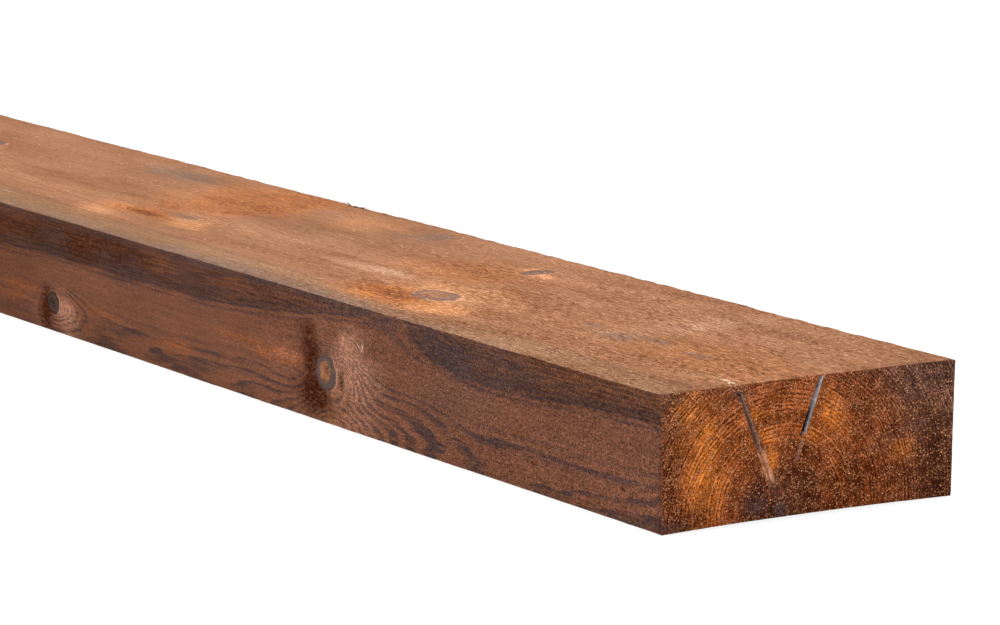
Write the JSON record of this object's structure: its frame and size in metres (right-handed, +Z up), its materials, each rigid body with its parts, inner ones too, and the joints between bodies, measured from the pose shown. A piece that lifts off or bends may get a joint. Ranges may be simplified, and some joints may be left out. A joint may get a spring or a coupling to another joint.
{
  "type": "railway sleeper",
  "caption": "Rough-sawn, brown-stained softwood railway sleeper: a long rectangular timber beam with drying checks in its end grain, for garden edging, raised beds and track beds.",
  "frame": {"origin": "middle of the bed, the wide face that the sleeper lies on", "axes": "+X along the grain towards the checked end, +Y across the width, +Z up through the thickness"},
  "size_m": [2.4, 0.25, 0.1],
  "materials": {
    "stained_softwood": "rough-sawn, brown pressure-treated"
  },
  "bodies": {
    "root": {"sleeper": "stained_softwood"}
  },
  "joints": []
}
